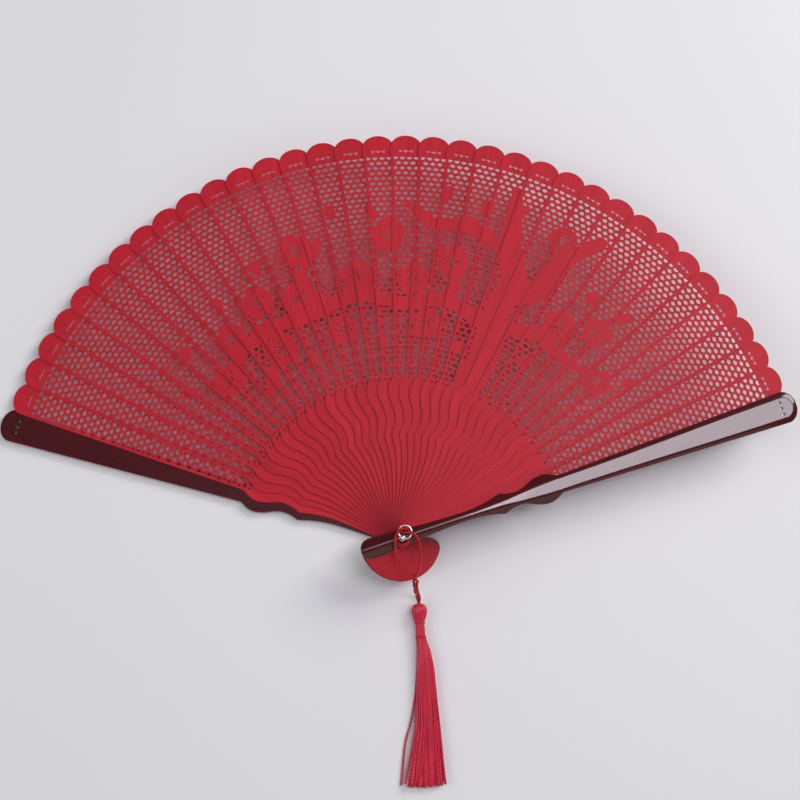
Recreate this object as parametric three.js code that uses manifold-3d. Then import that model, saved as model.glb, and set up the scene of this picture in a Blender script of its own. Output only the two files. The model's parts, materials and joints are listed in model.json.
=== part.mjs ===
// Folding fan of pierced sandalwood sticks: two guards and a pack of thin leaves turn on one rivet,
// whose eye carries a ring with a corded tassel. Millimetres, +Z up.
// The rivet's axis is Z, the flat end of the rivet lies at Z = 0, and +Y halves the open fan.
import * as THREE from 'three';
import Module from 'manifold-3d';
import { mergeVertices } from 'three/addons/utils/BufferGeometryUtils.js';
import { ConvexGeometry } from 'three/addons/geometries/ConvexGeometry.js';

const wasm = await Module();
wasm.setup();

// The pack
const LEAF_COUNT = 34;
const OPEN_ANGLE = 145; // degrees from the back guard's axis to the front guard's
const LEAF_THICKNESS = 0.45;
const LEAF_GAP = 0.17; // between one leaf and the next
const GUARD_THICKNESS = 3;

// The outline that every stick shares: distances from the rivet, and half widths there
const LEAF_LENGTH = 190;
const GUARD_LENGTH = 191.5;
const TIP_HALF = 7.4;
const TIP_ROUND = 5.6; // how far back from the end the tip starts to round
const SHOULDER_AT = 75.8;
const SHOULDER_HALF = 4.1;
const UPPER_BUMP_AT = 67.8;
const UPPER_BUMP_HALF = 6.7;
const WAIST_AT = 55.6;
const WAIST_HALF = 3.2;
const LOWER_BUMP_AT = 47.8;
const LOWER_BUMP_HALF = 4.8;
const NECK_AT = 30;
const NECK_HALF = 2.1;
const HEAD_RADIUS = 4.6;
const HEAD_LENGTH = 19.4; // from the rivet to the end of the head
const HEAD_SIDE_AT = HEAD_RADIUS - HEAD_LENGTH; // where the head's round end meets the sides
const CURVE_STEPS = 3;

// One side of the stick, from the head's round end up to the shoulder: the two controls and the end of
// each curve, as half width and distance from the rivet
const SIDE_CURVES = [
  [HEAD_RADIUS, -4, 2.3, 10, NECK_HALF, NECK_AT],
  [NECK_HALF, 37.5, 3.6, 43.4, LOWER_BUMP_HALF, LOWER_BUMP_AT],
  [4.1, 50.1, WAIST_HALF, 51.4, WAIST_HALF, WAIST_AT],
  [WAIST_HALF, 59.6, 6.3, 62.6, UPPER_BUMP_HALF, UPPER_BUMP_AT],
  [7, 71.8, 4.8, 73.4, SHOULDER_HALF, SHOULDER_AT],
];

// The guard's crown: distances from the rivet, and the half width of its flat ridge there. Flanks fall
// away from the ridge on both sides.
const RIDGE = [[-21.4, 0.5], [36, 0.5], [50, 1.1], [68, 2.6], [100, 2.8], [193.5, 5.3]];
const FLANK_SLOPE = 0.4;
const CROWN_HALF = 8; // half width of the block that the crown is cut with, wider than any stick
const CROWN_FLOOR = -1; // the block's underside, lower than any stick's

// The three holes that the linking thread runs through
const THREAD_HOLES_FROM_TIP = 7.6;
const THREAD_HOLE_PITCH = 2.76;
const LEAF_THREAD_HOLE = 0.45; // radius
const LEAF_THREAD_HOLE_SIDES = 6;
const GUARD_THREAD_HOLE = 0.8; // radius
const GUARD_THREAD_HOLE_SIDES = 8;
const HOLE_TURN = Math.PI / 4; // turns a hole's first corner off the stick's axis

// The rivet: a pin with a sunk flat head at the back, and a cap with a drilled ball at the front
const PIN_RADIUS = 1.3;
const BORE_RADIUS = 1.5;
const BORE_SIDES = 12;
const PIN_HEAD_RADIUS = 2.2;
const PIN_HEAD_HEIGHT = 0.9;
const PIN_RECESS_RADIUS = 2.45;
const PIN_RECESS_DEPTH = 1.1;
const CAP_COLLAR_RADIUS = 1.6;
const CAP_COLLAR_HEIGHT = 0.5;
const CAP_STEM_RADIUS = 1;
const EYE_RADIUS = 1.35;
const EYE_LIFT = 1.65; // from the collar's top to the eye's middle
const EYE_HOLE_RADIUS = 0.75;
const SEAT_GAP = 0.1; // between the rivet's pieces and the wood

// The ring, which lies through the eye
const RING_RADIUS = 2.95; // to the middle of its wire
const RING_WIRE_RADIUS = 0.4;
const RING_BEARING = 66; // degrees from +X to the ring's middle
const RING_OFFSET = 2.75; // from the rivet's axis to the ring's middle

// The cord and its tassel
const CORD_RADIUS = 0.7;
const CORD_SIDES = 8;
const CORD_STEPS = 76;
const STEM_RADIUS = 1.1;
const STEM_STEPS = 12;
const KNOT_RADIUS = 1.5;
const TASSEL_HEAD_RADIUS = 3.65;
const TASSEL_HEAD_LENGTH = 8.2;
const BAND_RADIUS = 2.4;
const BAND_LENGTH = 5.6;
const BAND_LIFT = 0.4; // from the table to the band
const SOFT_GAP = 0.3; // between the tassel's pieces
const SOFT_SIDES = 16;
// The head's profile: radius, and place along it
const TASSEL_HEAD = [
  [0, 0],
  [2.2, 0.3],
  [3.3, 1.6],
  [TASSEL_HEAD_RADIUS, 3.6],
  [3.4, 5.6],
  [BAND_RADIUS, TASSEL_HEAD_LENGTH],
  [0, TASSEL_HEAD_LENGTH],
];
// The skirt's sections: place along it, half width, height, and how far its middle strays to one side
const SKIRT = [[0, 2.5, 4.6, 0.6], [16, 4.5, 5, 2.4], [40, 6.2, 5.4, 2.5], [68.5, 10.6, 6, 0.8]];
// Half of one section's outline, as shares of its half width and height
const SKIRT_OUTLINE = [[0.7, 0], [1, 0.3], [0.6, 0.9], [0, 1]];

const FIRST_LEAF_AT = GUARD_THICKNESS + LEAF_GAP;
const LEAF_PITCH = LEAF_THICKNESS + LEAF_GAP;
const FRONT_GUARD_AT = FIRST_LEAF_AT + LEAF_COUNT * LEAF_PITCH;
const STACK_TOP = FRONT_GUARD_AT + GUARD_THICKNESS;
const STEP_ANGLE = OPEN_ANGLE / (LEAF_COUNT + 1);
const COLLAR_AT = STACK_TOP + SEAT_GAP;
const COLLAR_TOP = COLLAR_AT + CAP_COLLAR_HEIGHT;
const EYE_AT = COLLAR_TOP + EYE_LIFT;

const dyedWood = new THREE.MeshStandardMaterial({ color: 0xa81f2f, roughness: 0.55, metalness: 0 });
const lacqueredWood = new THREE.MeshStandardMaterial({ color: 0x3a0d14, roughness: 0.2, metalness: 0 });
const polishedSteel = new THREE.MeshStandardMaterial({ color: 0xd9d9d6, roughness: 0.2, metalness: 1 });
const silkCord = new THREE.MeshStandardMaterial({ color: 0xb01226, roughness: 0.6, metalness: 0 });
const silkYarn = new THREE.MeshStandardMaterial({ color: 0xc81e3c, roughness: 0.5, metalness: 0 });

const degrees = THREE.MathUtils.degToRad;
const fan = new THREE.Group();

function addPiece(name, geometry, material) {
  const mesh = new THREE.Mesh(geometry, material);
  mesh.name = name;
  fan.add(mesh);
  return mesh;
}

function solidOf(geometry) {
  const bare = geometry.clone();
  bare.deleteAttribute('normal');
  bare.deleteAttribute('uv');
  const merged = mergeVertices(bare, 1e-4);
  return new wasm.Manifold(new wasm.Mesh({
    numProp: 3,
    vertProperties: Float32Array.from(merged.attributes.position.array),
    triVerts: Uint32Array.from(merged.index.array),
  }));
}

function geometryOf(solid) {
  const mesh = solid.getMesh();
  const geometry = new THREE.BufferGeometry();
  geometry.setAttribute('position', new THREE.BufferAttribute(mesh.vertProperties, 3));
  geometry.setIndex(new THREE.BufferAttribute(mesh.triVerts, 1));
  geometry.computeVertexNormals();
  return geometry;
}

function cylinder(radius, low, high, sides) {
  const geometry = new THREE.CylinderGeometry(radius, radius, high - low, sides);
  geometry.rotateX(Math.PI / 2);
  geometry.translate(0, 0, (low + high) / 2);
  return geometry;
}

function drawRightSideUp(shape, tipAt) {
  for (const curve of SIDE_CURVES) {
    shape.bezierCurveTo(...curve);
  }
  shape.lineTo(TIP_HALF, tipAt);
}

function drawLeftSideDown(shape) {
  shape.lineTo(-SHOULDER_HALF, SHOULDER_AT);
  for (let i = SIDE_CURVES.length - 1; i >= 0; i -= 1) {
    const [ax, ay, bx, by] = SIDE_CURVES[i];
    const [endX, endY] = i > 0 ? SIDE_CURVES[i - 1].slice(-2) : [HEAD_RADIUS, HEAD_SIDE_AT];
    shape.bezierCurveTo(-bx, by, -ax, ay, -endX, endY);
  }
}

function roundHole(x, y, radius, sides) {
  const hole = new THREE.Path();
  for (let i = 0; i < sides; i += 1) {
    const angle = HOLE_TURN - (i / sides) * 2 * Math.PI;
    const point = [x + radius * Math.cos(angle), y + radius * Math.sin(angle)];
    if (i === 0) {
      hole.moveTo(...point);
    } else {
      hole.lineTo(...point);
    }
  }
  hole.closePath();
  return hole;
}

function stickShape(length, threadHoleRadius, threadHoleSides) {
  const shape = new THREE.Shape();
  const tipAt = length - TIP_ROUND;
  shape.moveTo(HEAD_RADIUS, HEAD_SIDE_AT);
  drawRightSideUp(shape, tipAt);
  shape.absellipse(0, tipAt, TIP_HALF, TIP_ROUND, 0, Math.PI, false);
  drawLeftSideDown(shape);
  shape.absarc(0, HEAD_SIDE_AT, HEAD_RADIUS, Math.PI, 2 * Math.PI, false);
  shape.holes.push(roundHole(0, 0, BORE_RADIUS, BORE_SIDES));
  for (const place of [-1, 0, 1]) {
    const x = place * THREAD_HOLE_PITCH;
    shape.holes.push(roundHole(x, length - THREAD_HOLES_FROM_TIP, threadHoleRadius, threadHoleSides));
  }
  return shape;
}

function plate(shape, thickness) {
  return new THREE.ExtrudeGeometry(shape, {
    depth: thickness,
    bevelEnabled: false,
    curveSegments: CURVE_STEPS,
  });
}

// The ridge's and flanks' corners on one side, at one distance from the rivet.
function crownCorners(y, ridgeHalf, side) {
  const edge = GUARD_THICKNESS - FLANK_SLOPE * (CROWN_HALF - ridgeHalf);
  return [
    new THREE.Vector3(side * ridgeHalf, y, GUARD_THICKNESS),
    new THREE.Vector3(side * CROWN_HALF, y, edge),
    new THREE.Vector3(side * CROWN_HALF, y, CROWN_FLOOR),
  ];
}

// A long block with the guard's ridge and flanks on top, which trims the flat plate to its crown.
function crownBlock() {
  const stations = RIDGE.map(([y, half]) => [...crownCorners(y, half, -1), ...crownCorners(y, half, 1)]);
  const blocks = stations.slice(1).map((end, i) => solidOf(new ConvexGeometry([...stations[i], ...end])));
  return blocks.reduce((joined, block) => joined.add(block));
}

function guardGeometry() {
  const shape = stickShape(GUARD_LENGTH, GUARD_THREAD_HOLE, GUARD_THREAD_HOLE_SIDES);
  return geometryOf(solidOf(plate(shape, GUARD_THICKNESS)).intersect(crownBlock()));
}

// The back guard is the same guard turned over, with a recess for the pin's flat head.
function addBackGuard() {
  const turned = guardGeometry();
  turned.rotateY(Math.PI);
  turned.translate(0, 0, GUARD_THICKNESS);
  const recess = cylinder(PIN_RECESS_RADIUS, -1, PIN_RECESS_DEPTH, 16);
  const guard = addPiece('back_guard', geometryOf(solidOf(turned).subtract(solidOf(recess))), lacqueredWood);
  guard.rotation.z = degrees(OPEN_ANGLE / 2);
}

function addFrontGuard() {
  const guard = addPiece('front_guard', guardGeometry(), lacqueredWood);
  guard.position.z = FRONT_GUARD_AT;
  guard.rotation.z = degrees(-OPEN_ANGLE / 2);
}

function addLeaves() {
  const shape = stickShape(LEAF_LENGTH, LEAF_THREAD_HOLE, LEAF_THREAD_HOLE_SIDES);
  const geometry = geometryOf(solidOf(plate(shape, LEAF_THICKNESS)));
  for (let number = 1; number <= LEAF_COUNT; number += 1) {
    const leaf = addPiece(`leaf_${String(number).padStart(2, '0')}`, geometry, dyedWood);
    leaf.position.z = FIRST_LEAF_AT + (number - 1) * LEAF_PITCH;
    leaf.rotation.z = degrees(OPEN_ANGLE / 2 - number * STEP_ANGLE);
  }
}

function addRivet() {
  const head = solidOf(cylinder(PIN_HEAD_RADIUS, 0, PIN_HEAD_HEIGHT, 20));
  const shank = solidOf(cylinder(PIN_RADIUS, 0, STACK_TOP, 16));
  addPiece('rivet_pin', geometryOf(head.add(shank)), polishedSteel);
  const ball = new THREE.SphereGeometry(EYE_RADIUS, 16, 10);
  ball.rotateX(Math.PI / 2);
  ball.translate(0, 0, EYE_AT);
  const hole = new THREE.CylinderGeometry(EYE_HOLE_RADIUS, EYE_HOLE_RADIUS, 4 * EYE_RADIUS, 12);
  hole.rotateZ(degrees(RING_BEARING));
  hole.translate(0, 0, EYE_AT);
  const cap = solidOf(cylinder(CAP_COLLAR_RADIUS, COLLAR_AT, COLLAR_TOP, 20))
    .add(solidOf(cylinder(CAP_STEM_RADIUS, COLLAR_AT, EYE_AT, 16)))
    .add(solidOf(ball))
    .subtract(solidOf(hole));
  addPiece('rivet_eye', geometryOf(cap), polishedSteel);
}

function addRing() {
  const ring = addPiece('ring', new THREE.TorusGeometry(RING_RADIUS, RING_WIRE_RADIUS, 8, 28), polishedSteel);
  const bearing = degrees(RING_BEARING);
  ring.position.set(RING_OFFSET * Math.cos(bearing), RING_OFFSET * Math.sin(bearing), EYE_AT);
}

function tube(points, radius, steps) {
  const route = new THREE.CatmullRomCurve3(points.map((point) => new THREE.Vector3(...point)));
  const section = new THREE.Shape();
  for (let i = 0; i < CORD_SIDES; i += 1) {
    const angle = (i / CORD_SIDES) * 2 * Math.PI;
    const point = [radius * Math.cos(angle), radius * Math.sin(angle)];
    if (i === 0) {
      section.moveTo(...point);
    } else {
      section.lineTo(...point);
    }
  }
  section.closePath();
  return new THREE.ExtrudeGeometry(section, { steps, extrudePath: route });
}

// From the knot, over the other strand and up the left, over the ring's left side and down through it,
// once round the eye, up through the ring again, over its right side, and down the right to the knot.
const CORD_ROUTE = [
  [6.1, -19.4, 28.7],
  [5.4, -18.5, 29.3],
  [4.4, -17.4, 29.6],
  [3.1, -16.2, 29.3],
  [1, -14.2, 28.7],
  [-1.3, -10.9, 28.4],
  [-2.8, -7.5, 28.5],
  [-3.5, -3.8, 29.3],
  [-3.5, -0.5, 30.2],
  [-2.5, 2.1, 31],
  [-0.8, 3.7, 30.8],
  [1.2, 4, 29.5],
  [2.7, 2.9, 28.6],
  [3.4, 1, 28.2],
  [2.9, -1.1, 28.15],
  [1.3, -2.8, 28.15],
  [-0.7, -3.1, 28.15],
  [-2.4, -2, 28.15],
  [-3.1, -0.1, 28.15],
  [-2.3, 1.6, 28.15],
  [-0.5, 2.45, 28.65],
  [1.4, 2.35, 30.3],
  [3.3, 2.3, 31],
  [5.3, 1.2, 30.6],
  [7, -1.7, 29.4],
  [7.8, -5.6, 28.6],
  [7.7, -9.2, 28.3],
  [7, -12.8, 28.1],
  [6, -15.8, 28],
  [5, -17.7, 28],
  [4.5, -19.4, 28],
];

const KNOT_PLACE = [5.3, -20.8, 26.9];

// From the knot down past the heads of the sticks to the tassel on the table.
const STEM_ROUTE = [
  [5.5, -22.1, 25.3],
  [5.8, -22.9, 21.8],
  [6.3, -23.8, 16],
  [6.9, -24.7, 10.5],
  [7.5, -25.8, 6.8],
  [8, -27.6, 4.4],
  [8.2, -29.4, 3.75],
];

const TASSEL_START = [8.3, -29.8];
const TASSEL_LEAN = -89.8; // degrees from +X, the way the tassel points

function addCord() {
  addPiece('tassel_cord', tube(CORD_ROUTE, CORD_RADIUS, CORD_STEPS), silkCord);
  const knot = addPiece('cord_knot', new THREE.SphereGeometry(KNOT_RADIUS, 12, 8), silkCord);
  knot.position.set(...KNOT_PLACE);
  addPiece('cord_stem', tube(STEM_ROUTE, STEM_RADIUS, STEM_STEPS), silkCord);
}

// A round piece that lies along +Y of the tassel, from its profile of radius and place.
function lyingRound(profile) {
  return new THREE.LatheGeometry(profile.map(([radius, y]) => new THREE.Vector2(radius, y)), SOFT_SIDES);
}

function skirtSection([y, half, height, stray]) {
  return SKIRT_OUTLINE.flatMap(([share, level]) => [-1, 1].map(
    (side) => new THREE.Vector3(side * share * half - stray, y, level * height),
  ));
}

function addTassel() {
  const tassel = new THREE.Group();
  tassel.position.set(...TASSEL_START, 0);
  tassel.rotation.z = degrees(TASSEL_LEAN - 90);
  fan.add(tassel);

  const head = addPiece('tassel_head', lyingRound(TASSEL_HEAD), silkYarn);
  head.position.set(0, 0, TASSEL_HEAD_RADIUS);
  tassel.add(head);

  const bandAt = TASSEL_HEAD_LENGTH + SOFT_GAP;
  const bandProfile = [[0, 0], [BAND_RADIUS, 0], [BAND_RADIUS, BAND_LENGTH], [0, BAND_LENGTH]];
  const band = addPiece('tassel_band', lyingRound(bandProfile), silkCord);
  band.position.set(0, bandAt, BAND_RADIUS + BAND_LIFT);
  tassel.add(band);

  const skirtAt = bandAt + BAND_LENGTH + SOFT_GAP;
  const skirt = addPiece('tassel_skirt', new ConvexGeometry(SKIRT.flatMap(skirtSection)), silkYarn);
  skirt.position.set(0, skirtAt, 0);
  tassel.add(skirt);
}

addBackGuard();
addLeaves();
addFrontGuard();
addRivet();
addRing();
addCord();
addTassel();

export default fan;
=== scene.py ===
"""Looks of a folding fan of pierced sandalwood leaves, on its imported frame, as a Blender add-on."""

import json
import math
import random

import bmesh
import bpy
from bpy.props import (
    FloatProperty,
    FloatVectorProperty,
    IntProperty,
    PointerProperty,
)
from mathutils import Matrix, Vector


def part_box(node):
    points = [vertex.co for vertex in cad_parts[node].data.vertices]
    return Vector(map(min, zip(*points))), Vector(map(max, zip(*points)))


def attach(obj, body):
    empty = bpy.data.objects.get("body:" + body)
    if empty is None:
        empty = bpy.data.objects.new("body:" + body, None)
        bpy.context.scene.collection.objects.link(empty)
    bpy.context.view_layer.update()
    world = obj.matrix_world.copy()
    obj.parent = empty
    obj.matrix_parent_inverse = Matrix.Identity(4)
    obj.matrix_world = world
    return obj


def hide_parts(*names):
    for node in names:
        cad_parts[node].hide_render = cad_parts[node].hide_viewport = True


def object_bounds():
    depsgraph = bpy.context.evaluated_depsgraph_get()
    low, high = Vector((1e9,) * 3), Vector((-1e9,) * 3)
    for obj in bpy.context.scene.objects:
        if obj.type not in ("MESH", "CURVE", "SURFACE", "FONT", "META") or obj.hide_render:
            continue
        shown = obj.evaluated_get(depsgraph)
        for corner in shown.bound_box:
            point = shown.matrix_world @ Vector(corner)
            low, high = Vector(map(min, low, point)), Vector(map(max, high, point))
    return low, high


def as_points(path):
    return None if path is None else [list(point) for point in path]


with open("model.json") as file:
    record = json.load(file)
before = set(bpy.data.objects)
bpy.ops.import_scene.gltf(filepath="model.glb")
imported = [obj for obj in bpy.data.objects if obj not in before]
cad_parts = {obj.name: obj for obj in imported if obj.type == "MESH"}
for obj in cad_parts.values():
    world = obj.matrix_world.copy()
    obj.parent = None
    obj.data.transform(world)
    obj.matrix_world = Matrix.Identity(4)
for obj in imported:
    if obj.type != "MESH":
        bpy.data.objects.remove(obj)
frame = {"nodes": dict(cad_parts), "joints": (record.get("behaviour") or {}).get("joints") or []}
CAD_BOX = [list(corner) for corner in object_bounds()]

bl_info = {
    "name": "Pierced sandalwood fan",
    "version": (1, 0, 0),
    "blender": (4, 5, 0),
    "location": "3D View > Sidebar > Fan",
    "description": "Makes the leaves, guards, rivet, cord and tassel of a folding fan",
    "category": "Add Mesh",
}

MM = 0.001
OPEN_ANGLE = next(j["range_deg"][1] for j in frame["joints"] if j["name"] == "fan_close")
LEAVES = sorted(name for name in frame["nodes"] if name.startswith("leaf_"))
STEP_ANGLE = OPEN_ANGLE / (len(LEAVES) + 1)


def reach_mm(node):
    """How far a stick goes from the rivet's axis, in millimetres."""
    return max(math.hypot(v.co.x, v.co.y) for v in frame["nodes"][node].data.vertices) / MM


LEAF_LENGTH = reach_mm("leaf_01")
GUARD_LENGTH = reach_mm("back_guard")

# The sticks' outline in millimetres from the rivet: it is the same on leaves and guards.
HEAD_RADIUS = 4.6
HEAD_CENTRE = -14.8
TIP_HALF = 7.4
TIP_ROUND = 5.6
SHOULDER = (4.1, 75.8)
SIDE_CURVES = [
    [(4.6, -14.8), (4.6, -4.0), (2.3, 10.0), (2.1, 30.0)],
    [(2.1, 30.0), (2.1, 37.5), (3.6, 43.4), (4.8, 47.8)],
    [(4.8, 47.8), (4.1, 50.1), (3.2, 51.4), (3.2, 55.6)],
    [(3.2, 55.6), (3.2, 59.6), (6.3, 62.6), (6.7, 67.8)],
    [(6.7, 67.8), (7.0, 71.8), (4.8, 73.4), SHOULDER],
]
HEAD_STEPS = 10
EDGE_STEPS = 8
TIP_STEPS = 20
LEAF_TAPER = (TIP_HALF - SHOULDER[0]) / (LEAF_LENGTH - TIP_ROUND - SHOULDER[1])
BORE_RADIUS = 1.5
THREAD_HOLES_FROM_TIP = 7.6
THREAD_HOLE_PITCH = 2.76
THREAD_HOLE_CORNER = 0.68


# ---------------------------------------------------------------- settings


def length(name, description, default):
    return FloatProperty(name=name, description=description, default=default, unit="LENGTH")


def amount(name, description, default):
    return FloatProperty(name=name, description=description, default=default)


def colour(name, description, default):
    return FloatVectorProperty(
        name=name, description=description, default=default, size=3, subtype="COLOR", min=0, max=1
    )


class FanPiercing(bpy.types.PropertyGroup):
    """The lattice cut through the leaves."""

    column_pitch: length("Column pitch", "From hole to hole across the leaf", 0.00336)
    row_pitch: length("Row pitch", "From one row of holes to the next", 0.00246)
    wall: length("Wall", "Wood left between two holes", 0.001)
    rail: length("Rail", "Solid strip along each edge of the leaf", 0.00115)
    first_row_from_tip: length("First row", "From the tip to the first full row", 0.0133)
    top_from_tip: length("Top", "From the tip to the line where the lattice ends", 0.0103)
    bottom: length("Bottom", "From the rivet to the lattice's lower end", 0.0718)
    smallest_hole: amount("Smallest hole", "Least area of a hole in square millimetres", 0.3)
    edge_round: length("Edge round", "How far the cut edges are eased", 0.00003)
    slit_width: length("Slit width", "Width of the fine cuts in a blossom's heart", 0.0005)


class FanWood(bpy.types.PropertyGroup):
    """Colours of the sticks."""

    red_light: colour("Light grain", "Dyed wood, light grain", (0.55, 0.011, 0.029))
    red_dark: colour("Dark grain", "Dyed wood, dark grain", (0.41, 0.007, 0.017))
    cut_edge: colour("Cut edge", "Scorched wood on the cut edges", (0.06, 0.003, 0.006))
    worn_edge: colour("Worn edge", "Paler dye where hands rub the rails", (0.62, 0.025, 0.04))
    lacquer: colour("Lacquer", "Gloss lacquer on the guards", (0.05, 0.0016, 0.003))
    lacquer_worn: colour("Worn lacquer", "Where the lacquer is thin", (0.16, 0.003, 0.006))
    stain: colour("Stain", "Matt stain on the guards' flat faces", (0.05, 0.017, 0.026))


class FanHanging(bpy.types.PropertyGroup):
    """The cord and tassel, the linking thread and the metal parts."""

    cord_diameter: length("Cord", "Diameter of the cord", 0.0013)
    cord_red: colour("Cord red", "Twisted silk cord", (0.66, 0.008, 0.016))
    yarn_red: colour("Yarn red", "Loose silk yarn", (0.55, 0.008, 0.028))
    yarn_pale: colour("Yarn pale", "Yarn where it catches light", (0.86, 0.05, 0.11))
    thread_pink: colour("Thread", "Thread that links the sticks", (0.66, 0.2, 0.25))
    steel: colour("Steel", "Ring and rivet", (0.80, 0.79, 0.77))
    strand_count: IntProperty(
        name="Strands", description="Yarns in the tassel's skirt", default=106, min=20
    )
    strand_width: length("Strand", "Width of one yarn of the skirt", 0.00098)
    seed: IntProperty(name="Seed", description="Order of the yarns' differences", default=7)


class FanStage(bpy.types.PropertyGroup):
    """The camera, floor and lights."""

    azimuth: amount("Azimuth", "Camera, in degrees round from -Y", 24.0)
    elevation: amount("Elevation", "Camera, in degrees over the floor", 82.05)
    roll: amount("Roll", "Camera, in degrees about its own axis", 22.9)
    distance: length("Distance", "Camera to the point it looks at", 0.6)
    lens: amount("Lens", "Focal length in millimetres on a 36 mm sensor", 58.1)
    target: FloatVectorProperty(
        name="Target",
        description="Point the camera looks at",
        default=(0.0013, 0.0641, 0.01),
        unit="LENGTH",
    )
    floor: colour("Floor", "Plain pale floor", (0.80, 0.80, 0.82))
    key_power: amount("Key light", "Strip light over the front guard, in watts", 3.4)
    middle_power: amount("Middle light", "Dim softbox over the neck, in watts", 1.2)
    fill_power: amount("Fill light", "Wide soft lights at the sides, in watts", 12.5)


# ---------------------------------------------------------------- materials

# How fine each grain is across, along and through a stick, or about a hanging part.
LEAF_FIBRES = (2600, 60, 900)
LEAF_PORES = (5200, 190, 900)
LEAF_BANDS = (420, 9, 100)
LACQUER_GRAIN = (1800, 40, 700)
LACQUER_DUST = (90, 90, 90)
STAIN_FIBRES = (2200, 45, 900)
STAIN_BANDS = (300, 7, 100)
STEEL_SCRATCHES = (900, 5000, 900)
STEEL_TARNISH = (400, 400, 400)
SILK_PATCHES = (1100, 45, 1100)
CORD_FIBRES = (4000, 4000, 4000)
YARN_FIBRES = (5000, 700, 5000)
THREAD_FIBRES = (6000, 6000, 6000)
FLOOR_MOTTLE = (6, 6, 6)
# How far apart in the noise two leaves lie, so that each has a grain of its own.
LEAF_SHIFT = 3.7
SHEEN_TINT = (1.0, 0.5, 0.6)
SOCKETS = {
    "Base": "Base Color",
    "Coat": "Coat Weight",
    "CoatRoughness": "Coat Roughness",
    "Sheen": "Sheen Weight",
    "SheenRoughness": "Sheen Roughness",
    "SheenTint": "Sheen Tint",
    "Specular": "Specular IOR Level",
}


class Nodes:
    """A material's node tree, with short calls to add and join nodes."""

    def __init__(self, name):
        self.material = bpy.data.materials.new(name)
        self.material.use_nodes = True
        self.tree = self.material.node_tree
        self.shader = self.tree.nodes["Principled BSDF"]

    def add(self, kind, inputs=None, **settings):
        node = self.tree.nodes.new("ShaderNode" + kind)
        for key, value in settings.items():
            setattr(node, key, value)
        for key, value in (inputs or {}).items():
            if isinstance(value, bpy.types.NodeSocket):
                self.tree.links.new(value, node.inputs[key])
            else:
                node.inputs[key].default_value = value
        return node

    def math(self, operation, a, b=0.0, clamp=False):
        return self.add("Math", {0: a, 1: b}, operation=operation, use_clamp=clamp).outputs[0]

    def scaled(self, value, share, more):
        """The value times share, and more added to it."""
        return self.math("ADD", self.math("MULTIPLY", value, share), more)

    def weigh(self, a, b, share):
        """That share of a, and b for the rest."""
        return self.scaled(a, share, self.math("MULTIPLY", b, 1 - share))

    def blend(self, factor, a, b):
        """Colour a at 0, and b at 1."""
        def rgba(value):
            return value if isinstance(value, bpy.types.NodeSocket) else (*value, 1.0)

        node = self.add("Mix", {0: factor, 6: rgba(a), 7: rgba(b)}, data_type="RGBA")
        return node.outputs[2]

    def steps(self, factor, low, high, most=1.0):
        """0 under low, most over high, and smooth between."""
        inputs = {0: factor, 1: low, 2: high, 3: 0.0, 4: most}
        return self.add("MapRange", inputs, interpolation_type="SMOOTHSTEP").outputs[0]

    def grain(self, fineness, detail, rough, shift=0.0, scale=1.0):
        """Noise in the piece's own coordinates, with a fineness for each axis."""
        where = self.add("TexCoord").outputs["Object"]
        stretched = self.add("Mapping", {"Vector": where, "Scale": fineness}).outputs[0]
        inputs = {"Vector": stretched, "Scale": scale, "Detail": detail, "Roughness": rough}
        return self.add("TexNoise", {**inputs, "W": shift}, noise_dimensions="4D").outputs[0]

    def bump(self, height, distance, strength):
        inputs = {"Height": height, "Distance": distance, "Strength": strength}
        return self.add("Bump", inputs).outputs[0]

    def finish(self, **inputs):
        """The material, with its shader's inputs set to values, colours or other nodes."""
        for key, value in inputs.items():
            socket = self.shader.inputs[SOCKETS.get(key, key)]
            if isinstance(value, bpy.types.NodeSocket):
                self.tree.links.new(value, socket)
            else:
                socket.default_value = (*value, 1.0) if hasattr(value, "__len__") else value
        return self.material


def shade(tint, share):
    """A colour made darker or lighter."""
    return tuple(min(1.0, share * part) for part in tint)


def upright_share(nodes):
    """1 on faces that look up or down, 0 on a stick's cut edges."""
    normal = nodes.add("NewGeometry").outputs["True Normal"]
    up = nodes.add("SeparateXYZ", {0: normal}).outputs[2]
    return nodes.steps(nodes.math("ABSOLUTE", up), 0.35, 0.8)


def rail_share(nodes, width_mm):
    """1 at the long edges of a stick above its shoulder, falling to 0 at width_mm from them."""
    where = nodes.add("SeparateXYZ", {0: nodes.add("TexCoord").outputs["Object"]})
    across = nodes.math("ABSOLUTE", nodes.math("MULTIPLY", where.outputs[0], 1 / MM))
    along = nodes.math("MULTIPLY", where.outputs[1], 1 / MM)
    half = nodes.scaled(along, LEAF_TAPER, SHOULDER[0] - LEAF_TAPER * SHOULDER[1])
    inside = nodes.math("SUBTRACT", half, across)
    rail = nodes.math("SUBTRACT", 1.0, nodes.steps(inside, 0.05, width_mm))
    return nodes.math("MULTIPLY", rail, nodes.steps(along, SHOULDER[1], SHOULDER[1] + 4))


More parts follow.
